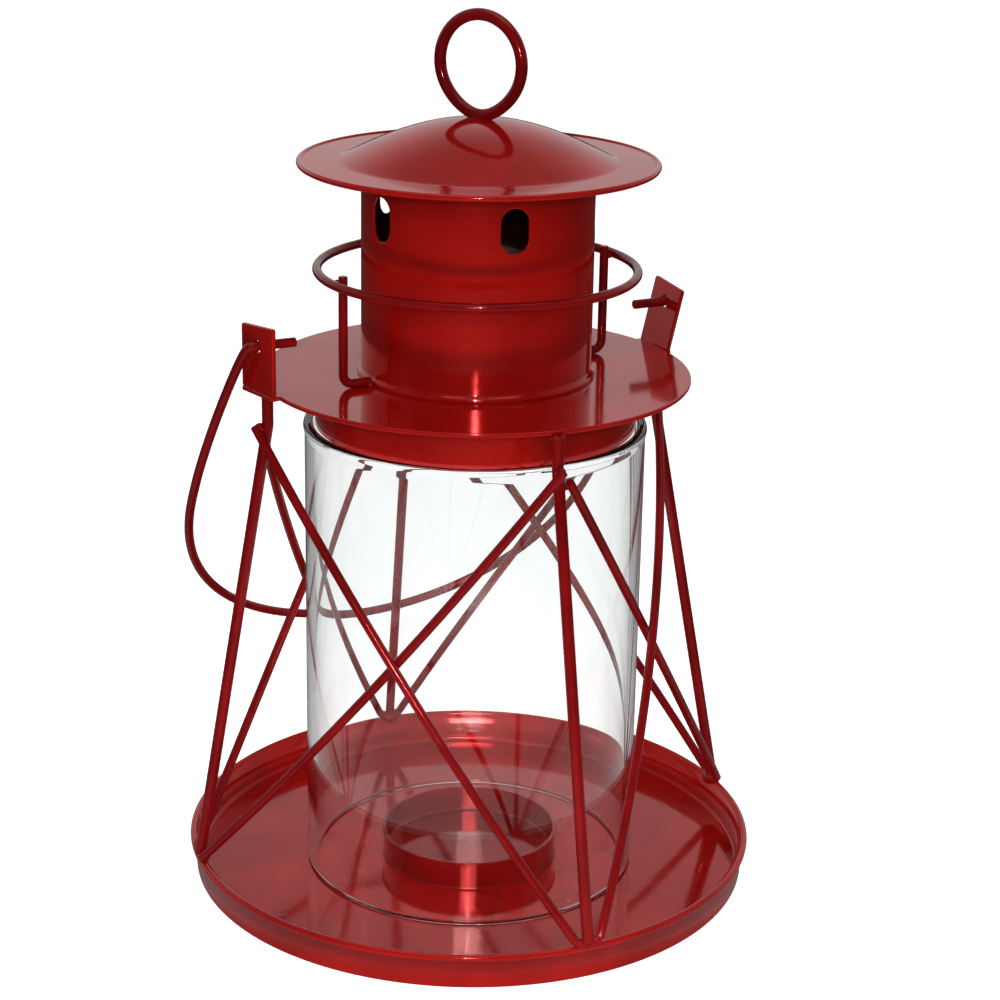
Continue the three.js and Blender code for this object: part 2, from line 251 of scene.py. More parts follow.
def enamel(name, deep, bright, sheen, coat, gloss, ripple, ior=1.5, painted_shade_within=0):
    """Glossy red enamel on bright tin, whose sheen shows red through it: its red drifts a little from
    place to place, its gloss is a little uneven, and its surface has the long ripple and the fine orange
    peel of a dipped and stoved coat. Nearer to the axis than the given millimetres it is painted
    near-black: a painted shade for the dark inside of the chimney."""
    material, shader, nodes, links = new_material(name)
    place = nodes.new("ShaderNodeTexCoord").outputs["Object"]
    shader.inputs["Metallic"].default_value = sheen
    shader.inputs["IOR"].default_value = ior
    shader.inputs["Coat Weight"].default_value = coat
    shader.inputs["Coat Roughness"].default_value = 0.03
    shader.inputs["Coat IOR"].default_value = 1.5

    colour = drifting(nodes, links, place, deep, bright)
    if painted_shade_within:
        colour = painted_shade_inside(nodes, links, place, colour, painted_shade_within)
    links.new(colour, shader.inputs["Base Color"])

    dullness = remapped(nodes, links, noise(nodes, links, place, 160, 3), (0, 1), gloss)
    links.new(dullness, shader.inputs["Roughness"])

    normal = rippled(nodes, links, place, ripple)
    links.new(normal, shader.inputs["Normal"])
    links.new(normal, shader.inputs["Coat Normal"])
    return material


SHEET_RED = {"deep": (0.32, 0.004, 0.003), "bright": (0.45, 0.008, 0.005)}
SHEET_FINISH = {
    "sheen": 0.5,
    "coat": 0.3,
    "gloss": (0.07, 0.15),
    "ripple": [(28, 1, 0.5, 0.35), (700, 2, 0.25, 0.05)],
}
SHEET_ENAMEL = enamel("sheet_enamel", **SHEET_RED, **SHEET_FINISH)
# The chimney's inside is painted near-black: painted shade for the dark seen through its vents.
CHIMNEY_ENAMEL = enamel(
    "chimney_enamel", **SHEET_RED, **SHEET_FINISH, painted_shade_within=CHIMNEY_RADIUS - SHEET + 0.1,
)
# The cup's enamel is the sheet's red painted darker: painted shade for the cup, which stands in shade
# inside the glass and behind the tray's wall.
CUP_SHADED_ENAMEL = enamel("cup_shaded_enamel", deep=(0.18, 0.003, 0.002), bright=(0.27, 0.005, 0.004), **SHEET_FINISH)
WIRE_ENAMEL = enamel(
    "wire_enamel", deep=(0.15, 0.002, 0.003), bright=(0.24, 0.005, 0.006), sheen=0.4, coat=0.35,
    gloss=(0.10, 0.20), ripple=[(170, 2, 0.5, 0.4), (900, 2, 0.3, 0.06)], ior=1.3,
)


def clear_glass():
    """Clear glass of the faintest green."""
    material, shader, _, _ = new_material("sleeve_glass")
    shader.inputs["Base Color"].default_value = (0.925, 0.94, 0.935, 1)
    shader.inputs["Transmission Weight"].default_value = 1.0
    shader.inputs["Roughness"].default_value = 0.0
    shader.inputs["IOR"].default_value = 1.5
    return material


GLASS = clear_glass()


# ---- mesh helpers ----------------------------------------------------------------------------------

def add_piece(name, shape, material, body, nodes=()):
    """Makes a piece from vertices in millimetres and faces. It rides on a CAD body, and stands for the
    CAD nodes that it is made after."""
    vertices, faces = shape
    mesh = bpy.data.meshes.new(name)
    mesh.from_pydata([Vector(v) * MM for v in vertices], [], faces)
    work = bmesh.new()
    work.from_mesh(mesh)
    bmesh.ops.remove_doubles(work, verts=work.verts, dist=MERGE_GAP * MM)
    bmesh.ops.recalc_face_normals(work, faces=work.faces)
    if work.calc_volume(signed=True) < 0:
        bmesh.ops.reverse_faces(work, faces=work.faces)
    for face in work.faces:
        face.smooth = True
    work.to_mesh(mesh)
    work.free()
    mesh.materials.append(material)
    piece = bpy.data.objects.new(name, mesh)
    bpy.context.scene.collection.objects.link(piece)
    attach(piece, body)
    if nodes:
        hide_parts(*nodes)
    return piece


def circle_point(centre, radius, angle):
    """A point on a circle, at an angle in degrees."""
    angle = math.radians(angle)
    return (centre[0] + radius * math.cos(angle), centre[1] + radius * math.sin(angle))


def arc(centre, radius, start, end, steps):
    """Points along an arc, angles in degrees."""
    return [circle_point(centre, radius, start + (end - start) * k / steps) for k in range(steps + 1)]


def round_the_corner(centre, start, end, steps):
    """Points of the short arc from start to end about centre."""
    out = start - centre
    directions = [out.slerp(end - centre, k / steps).normalized() for k in range(steps + 1)]
    return [centre + direction * out.length for direction in directions]


def rounded(corners, steps=6):
    """A closed outline with rounded corners. Each corner is (u, v) or (u, v, radius of its rounding)."""
    outline = []
    for i, corner in enumerate(corners):
        here = Vector(corner[:2])
        if len(corner) < 3:
            outline.append(tuple(here))
            continue
        before = Vector(corners[i - 1][:2]) - here
        after = Vector(corners[(i + 1) % len(corners)][:2]) - here
        half = before.angle(after) / 2
        reach = corner[2] / math.tan(half)
        before.normalize()
        after.normalize()
        centre = here + (before + after).normalized() * corner[2] / math.sin(half)
        start = here + before * reach
        end = here + after * reach
        outline.append(tuple(start + before * SUPPORT))
        outline += [tuple(p) for p in round_the_corner(centre, start, end, steps)]
        outline.append(tuple(end + after * SUPPORT))
    return outline


def lathed(profile, segments=SEGMENTS):
    """A solid of revolution about Z. The profile is a closed outline of (radius, height)."""
    vertices = []
    rings = []
    for radius, height in profile:
        first = len(vertices)
        if radius < 1e-6:
            vertices.append((0, 0, height))
            rings.append([first] * segments)
            continue
        for k in range(segments):
            vertices.append((*circle_point((0, 0), radius, 360 * k / segments), height))
        rings.append(list(range(first, first + segments)))
    faces = []
    for ring, following in zip(rings, rings[1:] + rings[:1]):
        for k in range(segments):
            beside = (k + 1) % segments
            corners = [ring[k], ring[beside], following[beside], following[k]]
            face = [corner for i, corner in enumerate(corners) if corner != corners[i - 1]]
            if len(face) > 2:
                faces.append(face)
    return vertices, faces


def joined(first, second, count):
    """The faces between two rings of count points each, which start at those two places in the list."""
    faces = []
    for k in range(count):
        beside = (k + 1) % count
        faces.append([first + k, first + beside, second + beside, second + k])
    return faces


def wire(points, diameter, closed=False, sides=20):
    """Round wire along a line of points, with the sharp edge of its cut ends just taken off."""
    radius = diameter / 2
    points = [Vector(p) for p in points]
    count = len(points)
    stations = []
    for i, point in enumerate(points):
        before = points[i - 1] if closed or i else point
        after = points[(i + 1) % count] if closed or i < count - 1 else point
        stations.append((point, (after - before).normalized(), radius))
    if not closed:
        edge = 0.3
        ends = []
        for point, tangent, inward in ((points[0], stations[0][1], 1), (points[-1], stations[-1][1], -1)):
            steps = [(0, radius - edge - SUPPORT)]
            steps += [(edge - edge * math.cos(a), radius - edge + edge * math.sin(a)) for a in QUARTER]
            ends.append([(point + tangent * inward * along, tangent, size) for along, size in steps])
        stations = ends[0] + stations[1:-1] + ends[1][::-1]
    side = stations[0][1].orthogonal().normalized()
    vertices = []
    for centre, tangent, size in stations:
        side = (side - tangent * side.dot(tangent)).normalized()
        other = tangent.cross(side)
        for k in range(sides):
            angle = 2 * math.pi * k / sides
            vertices.append(centre + (side * math.cos(angle) + other * math.sin(angle)) * size)
    rows = len(stations)
    faces = []
    for row in range(rows if closed else rows - 1):
        faces += joined(row * sides, (row + 1) % rows * sides, sides)
    if not closed:
        faces.append(list(range(sides)))
        faces.append(list(range((rows - 1) * sides, rows * sides)))
    return vertices, faces


def smooth_path(points, steps):
    """A centripetal Catmull-Rom curve through the points, with the same steps in every stretch."""
    ghosts = [2 * points[0] - points[1], *points, 2 * points[-1] - points[-2]]
    path = []
    for before, start, end, after in zip(ghosts, ghosts[1:], ghosts[2:], ghosts[3:]):
        stretches = ((before, start), (start, end), (end, after))
        gap_before, gap, gap_after = (math.sqrt((b - a).length) for a, b in stretches)
        leave = (start - before) / gap_before - (end - before) / (gap_before + gap) + (end - start) / gap
        arrive = (end - start) / gap - (after - start) / (gap + gap_after) + (after - end) / gap_after
        for k in range(steps):
            t = k / steps
            path.append(
                start * (2 * t ** 3 - 3 * t ** 2 + 1) + leave * gap * (t ** 3 - 2 * t ** 2 + t)
                + end * (3 * t ** 2 - 2 * t ** 3) + arrive * gap * (t ** 3 - t ** 2)
            )
    return path + [points[-1]]


def bent(points, radius, spacing=2.0):
    """A line of straight runs with its bends rounded, as even points."""
    path = [points[0]]
    for before, here, after in zip(points, points[1:], points[2:]):
        back = (before - here).normalized()
        on = (after - here).normalized()
        half = back.angle(on) / 2
        reach = radius / math.tan(half)
        centre = here + (back + on).normalized() * radius / math.sin(half)
        path += round_the_corner(centre, here + back * reach, here + on * reach, steps=6)
    path.append(points[-1])
    even = [path[0]]
    for here, following in zip(path, path[1:]):
        steps = max(1, round((following - here).length / spacing))
        even += [here.lerp(following, (k + 1) / steps) for k in range(steps)]
    return even


def plate(outline, holes, thickness, edge):
    """A flat plate from z = 0 up, whose edges are rounded to the radius edge. The outline runs
    counter-clockwise and its holes run clockwise, so that the metal is on the left of each."""
    section = [(edge - edge * math.cos(a), thickness - edge + edge * math.sin(a)) for a in QUARTER]
    section.append((edge + SUPPORT, thickness))
    section = [(inset, thickness - z) for inset, z in reversed(section)] + section
    work = bmesh.new()
    for loop in (outline, *holes):
        points = [Vector(p) for p in loop]
        count = len(points)
        inward = []
        for i, point in enumerate(points):
            along_in = (point - points[i - 1]).normalized()
            along_out = (points[(i + 1) % count] - point).normalized()
            mitre = Vector((-along_in.y - along_out.y, along_in.x + along_out.x))
            inward.append(mitre * 2 / mitre.length_squared)
        rows = []
        for inset, z in section:
            row = [point + direction * inset for point, direction in zip(points, inward)]
            rows.append([work.verts.new((*place, z)) for place in row])
        for row, following in zip(rows, rows[1:]):
            for k in range(count):
                work.faces.new((row[k - 1], row[k], following[k], following[k - 1]))
    for level in (0, thickness):
        open_lines = [line for line in work.edges if line.is_boundary]
        border = [line for line in open_lines if all(abs(v.co.z - level) < 1e-6 for v in line.verts)]
        bmesh.ops.triangle_fill(work, use_beauty=True, edges=border)
    work.verts.index_update()
    shape = [v.co.copy() for v in work.verts], [[v.index for v in f.verts] for f in work.faces]
    work.free()
    return shape


def moved(shape, matrix):
    return [matrix @ Vector(v) for v in shape[0]], shape[1]


def turn(axis, angle):
    """A turn about an axis, in degrees."""
    return Matrix.Rotation(math.radians(angle), 4, axis)


def add_weld(name, balls, body, voxel=0.22):
    """A bead of weld metal under the wires' enamel: balls run together into one smooth lump. Each ball
    is (centre, radius)."""
    work = bmesh.new()
    for centre, radius in balls:
        bmesh.ops.create_icosphere(
            work, subdivisions=3, radius=radius * MM, matrix=Matrix.Translation(Vector(centre) * MM),
        )
    rough = bpy.data.meshes.new(name + "_balls")
    work.to_mesh(rough)
    work.free()
    model = bpy.data.objects.new(name + "_balls", rough)
    bpy.context.scene.collection.objects.link(model)
    remesh = model.modifiers.new("run_together", "REMESH")
    remesh.mode = "VOXEL"
    remesh.voxel_size = voxel * MM
    smooth = model.modifiers.new("flow", "SMOOTH")
    smooth.factor = 0.6
    smooth.iterations = 8
    run_together = model.evaluated_get(bpy.context.evaluated_depsgraph_get())
    made = bpy.data.meshes.new_from_object(run_together)
    shape = [v.co / MM for v in made.vertices], [list(polygon.vertices) for polygon in made.polygons]
    bpy.data.objects.remove(model)
    add_piece(name, shape, WIRE_ENAMEL, body)


def by_leg(angle, out, side, height):
    """A place given by a direction round the axis in degrees, and how far out, sideways and up it is."""
    angle = math.radians(angle)
    return Vector((
        out * math.cos(angle) - side * math.sin(angle),
        out * math.sin(angle) + side * math.cos(angle),
        height,
    ))


# ---- tray, candle cup and glass --------------------------------------------------------------------

def tray_shape():
    """The dish, with a wire-like bead rolled round its rim."""
    bead = (TRAY_RADIUS - TRAY_BEAD, TRAY_HEIGHT - TRAY_BEAD)
    outside = rounded([
        (0, 0),
        (TRAY_WALL_OUTSIDE, 0, 0.9),
        (TRAY_WALL_OUTSIDE, bead[1] - 0.6),
        (bead[0], bead[1] - TRAY_BEAD + 0.02),
    ])
    rim = arc(bead, TRAY_BEAD, -84, 176, steps=26)
    inside = rounded([
        (TRAY_WALL_INSIDE, bead[1] - 0.2),
        (TRAY_WALL_INSIDE, TRAY_FLOOR, 1.1),
        (0, TRAY_FLOOR),
    ], steps=8)
    return lathed(outside + rim + inside, TRAY_SEGMENTS)


def cup_shape():
    """The cup on the tray's floor, with a small step out at its rim."""
    side = CUP_RADIUS - 0.5
    return lathed([(0, TRAY_FLOOR)] + rounded([
        (side + 0.35, TRAY_FLOOR),
        (side, TRAY_FLOOR + 0.5, 0.3),
        (side, CUP_TOP - 0.95, 0.2),
        (CUP_RADIUS, CUP_TOP - 0.7, 0.25),
        (CUP_RADIUS, CUP_TOP, 0.3),
        (side - CUP_WALL, CUP_TOP, 0.3),
        (side - CUP_WALL, TRAY_FLOOR + 1.0, 0.8),
        (0, TRAY_FLOOR + 1.0),
    ]))


def glass_shape():
    """The sleeve, cut square below and with a slightly thicker, fire-polished lip above."""
    inner = GLASS_RADIUS - GLASS_WALL
    base = TRAY_FLOOR + GLASS_SEAT_GAP
    return lathed(rounded([
        (inner, base, 0.7),
        (GLASS_RADIUS, base, 0.7),
        (GLASS_RADIUS, GLASS_TOP - 3.4, 2.5),
        (GLASS_RADIUS + GLASS_LIP, GLASS_TOP - 1.5, 1.0),
        (GLASS_RADIUS + GLASS_LIP - 0.25, GLASS_TOP, 1.1),
        (inner + 0.1, GLASS_TOP, 0.9),
    ], steps=8), WIDE_SEGMENTS)


add_piece("tray", tray_shape(), SHEET_ENAMEL, "frame", ["base_tray"])
add_piece("cup", cup_shape(), CUP_SHADED_ENAMEL, "frame", ["candle_cup"])
glass_sleeve = add_piece("glass_sleeve", glass_shape(), GLASS, "frame", ["glass_cylinder"])
glass_sleeve.visible_shadow = False     # the shadow of its clear wall would be far too dark


# ---- deck, collar and ears -------------------------------------------------------------------------

# Degrees that each ear leans out and is twisted about the upright.
EARS = [("left", -1, 0.0, 11.0), ("right", 1, 13.5, 0.0)]


def ear_place(side, twist):
    """Takes a shape drawn outward along +X from an ear's inner face to that ear."""
    facing = turn("Z", twist if side > 0 else 180 + twist)
    return (
        Matrix.Translation((0, EAR_OFFSET_Y, 0)) @ turn("Z", EAR_ANGLE)
        @ Matrix.Translation((side * EAR_INNER_FACE, 0, 0)) @ facing
    )


def deck_outline():
    """The round deck with a tab for each ear, counter-clockwise."""
    corners = []
    for _, side, lean, twist in sorted(EARS, key=lambda ear: -ear[1]):
        place = ear_place(side, twist)
        reach = PLATE - (BAIL_PIVOT_Z - DECK_TOP) * math.tan(math.radians(lean)) + 0.3
        near = place @ Vector((reach, -EAR_WIDTH / 2, 0))
        far = place @ Vector((reach, EAR_WIDTH / 2, 0))
        inward = (place @ Vector((-1, 0, 0)) - place @ Vector((0, 0, 0))).to_2d()
        crossings = []
        for tip in (near.to_2d(), far.to_2d()):
            lean_in = tip.dot(inward)
            run = -lean_in - math.sqrt(lean_in ** 2 - tip.length_squared + DECK_RADIUS ** 2)
            crossings.append(tip + inward * max(run, 0.0))
        corners.append((crossings[0], near.to_2d(), far.to_2d(), crossings[1]))
    outline = []
    for i, (start, near, far, end) in enumerate(corners):
        near_round = min(0.8, 0.4 * (start - near).length)
        far_round = min(0.8, 0.4 * (end - far).length)
        tab = [tuple(start), (*near, near_round), (*far, far_round), tuple(end)]
        outline += rounded(tab, steps=5)
        following = corners[i - 1][0]
        first_angle = math.atan2(end.y, end.x)
        last_angle = math.atan2(following.y, following.x)
        if last_angle < first_angle:
            last_angle += 2 * math.pi
        steps = 130
        for k in range(1, steps):
            angle = first_angle + (last_angle - first_angle) * k / steps
            outline.append((DECK_RADIUS * math.cos(angle), DECK_RADIUS * math.sin(angle)))
    return outline


deck_hole = arc((0, 0), DECK_HOLE_RADIUS, 360, 0, steps=180)[:-1]
deck = plate(deck_outline(), [deck_hole], PLATE, edge=0.4)
deck = moved(deck, Matrix.Translation((0, 0, DECK_TOP - PLATE)))
add_piece("deck", deck, SHEET_ENAMEL, "frame", ["deck_plate"])

add_piece("collar", lathed(rounded([
    (COLLAR_RADIUS - SHEET, COLLAR_BOTTOM, 0.3),
    (COLLAR_RADIUS, COLLAR_BOTTOM, 0.3),
    (COLLAR_RADIUS, DECK_TOP - PLATE - 0.5, 0.4),
    (COLLAR_RADIUS + 0.6, DECK_TOP - PLATE),
    (COLLAR_RADIUS - SHEET, DECK_TOP - PLATE),
])), SHEET_ENAMEL, "frame", ["glass_collar"])


def ear_shape(lean, side, twist):
    """An ear stands on its tab and leans out about its hole."""
    half = EAR_WIDTH / 2
    foot = (BAIL_PIVOT_Z - DECK_TOP) / math.cos(math.radians(lean))
    outline = rounded([
        (-half, -foot),
        (half, -foot),
        (half, EAR_ABOVE_HOLE + EAR_TOP_SLANT, 0.7),
        (-half, EAR_ABOVE_HOLE - EAR_TOP_SLANT, 0.7),
    ])
    bore = arc((0, 0), EAR_HOLE_RADIUS, 360, 0, steps=40)[:-1]
    flat = plate(outline, [bore], PLATE, edge=0.35)
    upright = Matrix(((0, 0, 1, 0), (1, 0, 0, 0), (0, 1, 0, 0), (0, 0, 0, 1)))
    place = ear_place(side, twist) @ Matrix.Translation((0, 0, BAIL_PIVOT_Z)) @ turn("Y", lean) @ upright
    return moved(flat, place)


for name, side, lean, twist in EARS:
    add_piece(f"ear_plate_{name}", ear_shape(lean, side, twist), SHEET_ENAMEL, "frame", [f"ear_{name}"])


# ---- chimney and gallery rail ----------------------------------------------------------------------

def vent_reach(x, y):
    """How far along (x, y) from a vent's middle its round-ended edge is."""
    straight = (VENT_HEIGHT - VENT_WIDTH) / 2
    length = math.hypot(x, y)
    x, y = x / length, y / length
    low, high = 0.0, VENT_HEIGHT
    for _ in range(40):
        middle = (low + high) / 2
        over = max(abs(y * middle) - straight, 0)
        if math.hypot(x * middle, over) < VENT_WIDTH / 2:
            low = middle
        else:
            high = middle
    return low


def chimney_bands(low, high, segments):
    """The tube's plain bands, below low and above high, with its wall left open between them."""
    inner = CHIMNEY_RADIUS - SHEET
    outside = rounded([
        (inner, DECK_TOP),
        (CHIMNEY_FOOT_RADIUS + 0.3, DECK_TOP),
        (CHIMNEY_FOOT_RADIUS, DECK_TOP + 1.0, 0.5),
        (CHIMNEY_RADIUS, DECK_TOP + 1.8, 0.8),
        (CHIMNEY_RADIUS, low),
    ])
    rim = rounded([
        (CHIMNEY_RADIUS, high),
        (CHIMNEY_RADIUS, CHIMNEY_TOP, 0.3),
        (inner, CHIMNEY_TOP, 0.3),
        (inner, high),
    ])
    below, faces_below = lathed(outside + [(inner, low)], segments)
    above, faces_above = lathed(rim, segments)

    def without_closing(faces, last, first):
        """Drops the faces that would close the wall between the rings last and first."""
        return [face for face in faces if {corner // segments for corner in face} != {last, first}]

    faces = without_closing(faces_below, len(outside) - 1, len(outside))
    for face in without_closing(faces_above, 0, len(rim) - 1):
        faces.append([corner + len(below) for corner in face])
    turned_by = turn("Z", VENT_FIRST_ANGLE - 180 / VENT_COUNT)
    return [turned_by @ Vector(v) for v in below + above], faces


def rectangle_border(half_width, half_height, columns, rows):
    """Points counter-clockwise round a rectangle, from its lower left corner."""
    corners = [(-half_width, -half_height), (half_width, -half_height)]
    corners += [(half_width, half_height), (-half_width, half_height)]
    border = []
    for here, following, steps in zip(corners, corners[1:] + corners[:1], (columns, rows, columns, rows)):
        across, up = following[0] - here[0], following[1] - here[1]
        border += [(here[0] + across * k / steps, here[1] + up * k / steps) for k in range(steps)]
    return border


def vent_section():
    """The wall's section from a patch's outer border over the vent's rounded edge to its inner border.
    Each row is the share of the way from the vent to the border, the step from the vent's edge where
    the row follows that edge, and the radius from the chimney's axis."""
    inner = CHIMNEY_RADIUS - SHEET
    lip = VENT_LIP
    spread = [0.03, 0.08, 0.16, 0.27, 0.4, 0.55, 0.7, 0.85, 1.0]
    section = [(share, None, CHIMNEY_RADIUS) for share in reversed(spread)]
    section += [(0, lip - lip * math.sin(a), CHIMNEY_RADIUS - lip + lip * math.cos(a)) for a in QUARTER]
    section += [(0, lip - lip * math.cos(a), inner + lip - lip * math.sin(a)) for a in QUARTER]
    section += [(share, None, inner) for share in spread]
    return section


def chimney_shape():
    """The chimney tube: plain bands above and below, and five patches that each hold a vent."""
    columns = 40
    rows = 16
    half_arc = math.pi * CHIMNEY_RADIUS / VENT_COUNT
    half_height = 9.5
    vertices, faces = chimney_bands(VENT_Z - half_height, VENT_Z + half_height, columns * VENT_COUNT)

    border = rectangle_border(half_arc, half_height, columns, rows)
    vent_edge = [vent_reach(x, y) for x, y in border]
    patch_edge = [math.hypot(x, y) for x, y in border]
    section = vent_section()
    for vent in range(VENT_COUNT):
        middle = math.radians(VENT_FIRST_ANGLE + vent * 360 / VENT_COUNT)
        start = len(vertices)
        for share, step, radius in section:
            for (x, y), near, far in zip(border, vent_edge, patch_edge):
                out = near + VENT_LIP + (far - near - VENT_LIP) * share if step is None else near + step
                angle = middle + x / far * out / CHIMNEY_RADIUS
                height = VENT_Z + y / far * out
                vertices.append(Vector((radius * math.cos(angle), radius * math.sin(angle), height)))
        for row in range(start, len(vertices) - len(border), len(border)):
            faces += joined(row, row + len(border), len(border))
    return vertices, faces


def rail_post(angle):
    """A post stands inside the rail, and its foot turns in along the deck to the chimney."""
    out = RAIL_RADIUS - RAIL_WIRE - POST_RAIL_GAP
    lowest = DECK_TOP + RAIL_WIRE / 2
    return wire(bent([
        by_leg(angle, out, 0, RAIL_Z + RAIL_WIRE / 2 + POST_ABOVE_RAIL),
        by_leg(angle, out, 0, lowest),
        by_leg(angle, CHIMNEY_FOOT_RADIUS + POST_CHIMNEY_GAP, 0, lowest),
    ], radius=2.6, spacing=1.2), RAIL_WIRE)


add_piece("chimney", chimney_shape(), CHIMNEY_ENAMEL, "frame", ["chimney_tube"])
rail_line = [(*place, RAIL_Z) for place in arc((0, 0), RAIL_RADIUS, 0, 360, steps=180)[:-1]]
add_piece("rail", wire(rail_line, RAIL_WIRE, closed=True), WIRE_ENAMEL, "frame", ["gallery_rail"])
for name, angle in (("right", RAIL_POST_ANGLE), ("left", RAIL_POST_ANGLE + 180)):
    add_piece(f"post_{name}", rail_post(angle), WIRE_ENAMEL, "frame", [f"rail_post_{name}"])
    add_weld(f"post_{name}_weld", [
        (by_leg(angle, RAIL_RADIUS - RAIL_WIRE / 2, side, RAIL_Z + up), 0.75)
        for side in (-0.7, 0.7) for up in (-0.6, 0.6)
    ], "frame")
    add_weld(f"post_{name}_foot_weld", [
        (by_leg(angle, CHIMNEY_FOOT_RADIUS + 0.9, side, DECK_TOP + 0.7), 1.1) for side in (-1.2, 0, 1.2)
    ], "frame")


# ---- legs and braces -------------------------------------------------------------------------------

# Name, degrees round from +X of the leg's top and foot, and which way its overlapping brace runs.
LEGS = [
    ("right", 10.4, 0.8, 1),
    ("back", 87.8, 88.6, -1),
    ("left", 180.0, 176.6, 1),
    ("front", 268.7, 271.4, -1),
]

# How far each brace bows away from the glass and how far it sags half way along.
BRACE_BENDS = {
    "right_to_back": (2.0, -2.0),
    "right_to_front": (6.0, -4.0),
    "back_to_left": (0.6, 0.0),
    "back_to_right": (2.4, -2.0),
    "left_to_front": (4.6, 0.0),
    "left_to_back": (4.7, 0.0),
    "front_to_right": (1.2, 1.0),
    "front_to_left": (2.2, 4.0),
}


def brace_line(leg, following, direction, bow, sag):
    """The middle line of a brace from the top of one leg to the foot of the next leg round."""
    _, top_angle, foot_angle, overlap = leg
    if overlap == direction:
        top = by_leg(top_angle, LEG_TOP_RADIUS + BRACE_LAP, -BRACE_LAP_SIDE * direction, LEG_BEND_Z)
    else:
        top = by_leg(top_angle, LEG_TOP_RADIUS, BRACE_SIDE_STEP * direction, LEG_BEND_Z - BRACE_SIDE_DROP)
    foot_z = TRAY_HEIGHT + BRACE_FOOT_RISE
    foot = by_leg(following[2], LEG_FOOT_RADIUS, -BRACE_SIDE_STEP * direction, foot_z)
    half_way = foot_angle + direction * 180 / len(LEGS)
    middle = (top + foot) / 2 + by_leg(half_way, 2 * bow, 0, 0)
    middle.z -= 2 * sag
    steps = 60
    return [
        top * (1 - t) ** 2 + middle * 2 * t * (1 - t) + foot * t ** 2
        for t in (k / steps for k in range(steps + 1))
    ]


for index, leg in enumerate(LEGS):
    name, top_angle, foot_angle, overlap = leg
    top = by_leg(top_angle, LEG_TOP_RADIUS, 0, DECK_TOP - PLATE + LEG_INTO_DECK)
    bend = by_leg(top_angle, LEG_TOP_RADIUS, 0, LEG_BEND_Z)
    foot = by_leg(foot_angle, LEG_FOOT_RADIUS, 0, LEG_FOOT_Z)
    leg_wire = wire(bent([top, bend, foot], LEG_BEND_RADIUS), LEG_WIRE)
    add_piece(f"leg_wire_{name}", leg_wire, WIRE_ENAMEL, "frame", [f"leg_{name}"])
    for direction in (1, -1):
        following = LEGS[(index + direction) % len(LEGS)]
        run = f"{name}_to_{following[0]}"
        line = brace_line(leg, following, direction, *BRACE_BENDS[run])
        add_piece(f"brace_wire_{run}", wire(line, BRACE_WIRE), WIRE_ENAMEL, "frame", [f"brace_{run}"])
    add_weld(f"leg_{name}_foot_weld", [
        (by_leg(foot_angle, LEG_FOOT_RADIUS + out, side, LEG_FOOT_Z + up), size)
        for out, side, up, size in (
            (-0.2, -2.6, 0.3, 1.4), (-0.6, -1.3, -0.3, 1.7), (-0.8, 0, -0.6, 2.0), (-0.6, 1.3, -0.3, 1.7),
            (-0.2, 2.6, 0.3, 1.4),
        )
    ], "frame")
    add_weld(f"leg_{name}_deck_weld", [
        (by_leg(top_angle, LEG_TOP_RADIUS - 0.6 + out, side, DECK_TOP - PLATE - 0.4), 0.9)
        for out, side in ((0.9, 0.9), (0.9, -0.9), (-0.9, 0.9), (-0.9, -0.9), (-1.6, 0))
    ], "frame")
    add_weld(f"leg_{name}_brace_weld", [
        (by_leg(top_angle, LEG_TOP_RADIUS + out, side * overlap, LEG_BEND_Z + up), size)
        for out, side, up, size in (
            (1.5, -0.3, -0.6, 1.3), (2.2, 0.1, -0.5, 1.4), (1.9, -0.2, -2.2, 1.0),
            (0.3, -1.7, -4.8, 0.9), (0.1, -2.3, -5.0, 0.9),
        )
    ], "frame")


# ---- bail ------------------------------------------------------------------------------------------

def bail_side():
    """One side of the bail as (half width, depth), from the peg's tip to just short of the middle."""
    bend = BAIL_BEND_RADIUS
    peg = [(BAIL_PEG_TIP, 0), (BAIL_ARM_START - bend - 0.3, 0)]
    corner = arc((BAIL_ARM_START - bend, bend), bend, -70, -10, steps=3)
    arm = []
    for share in (0.12, 0.4, 0.7, 1):
        half = BAIL_ARM_START + (BAIL_HALF_WIDTH - BAIL_ARM_START) * (1 - (1 - share) ** 2)
        arm.append((half, BAIL_BULGE_DEPTH * share))
    bottom = []
    for k in range(1, BAIL_BOTTOM_STEPS):
        angle = 0.5 * math.pi * k / BAIL_BOTTOM_STEPS
        depth = BAIL_BULGE_DEPTH + (BAIL_DEPTH - BAIL_BULGE_DEPTH) * math.sin(angle) ** BAIL_BOTTOM_FULLNESS
        bottom.append((BAIL_HALF_WIDTH * math.cos(angle), depth))
    return peg + corner + arm + bottom


side_points = bail_side()
bail_points = [Vector((-half, 0, -depth)) for half, depth in side_points]
bail_points.append(Vector((0, 0, -BAIL_DEPTH)))
bail_points += [Vector((half, 0, -depth)) for half, depth in reversed(side_points)]
bail_place = (
    Matrix.Translation((0, EAR_OFFSET_Y, BAIL_PIVOT_Z)) @ turn("Z", EAR_ANGLE) @ turn("X", BAIL_HANG_ANGLE)
)
bail_line = [bail_place @ p for p in smooth_path(bail_points, steps=6)]
add_piece("bail", wire(bail_line, BAIL_WIRE), WIRE_ENAMEL, "bail", ["bail_handle"])


# ---- cap -------------------------------------------------------------------------------------------

def cap_height(radius):
    """Height of the cap's upper face: a low dome that runs out into a nearly flat brim."""
    foot = CAP_BRIM_Z + SHEET / 2 + CAP_BRIM_FALL
    if radius >= CAP_DOME_RADIUS:
        return foot - CAP_BRIM_FALL * (radius - CAP_DOME_RADIUS) / (CAP_RADIUS - CAP_DOME_RADIUS)
    return foot + (CAP_APEX - foot) * (1 - (radius / CAP_DOME_RADIUS) ** 2) ** CAP_DOME_ROUNDNESS


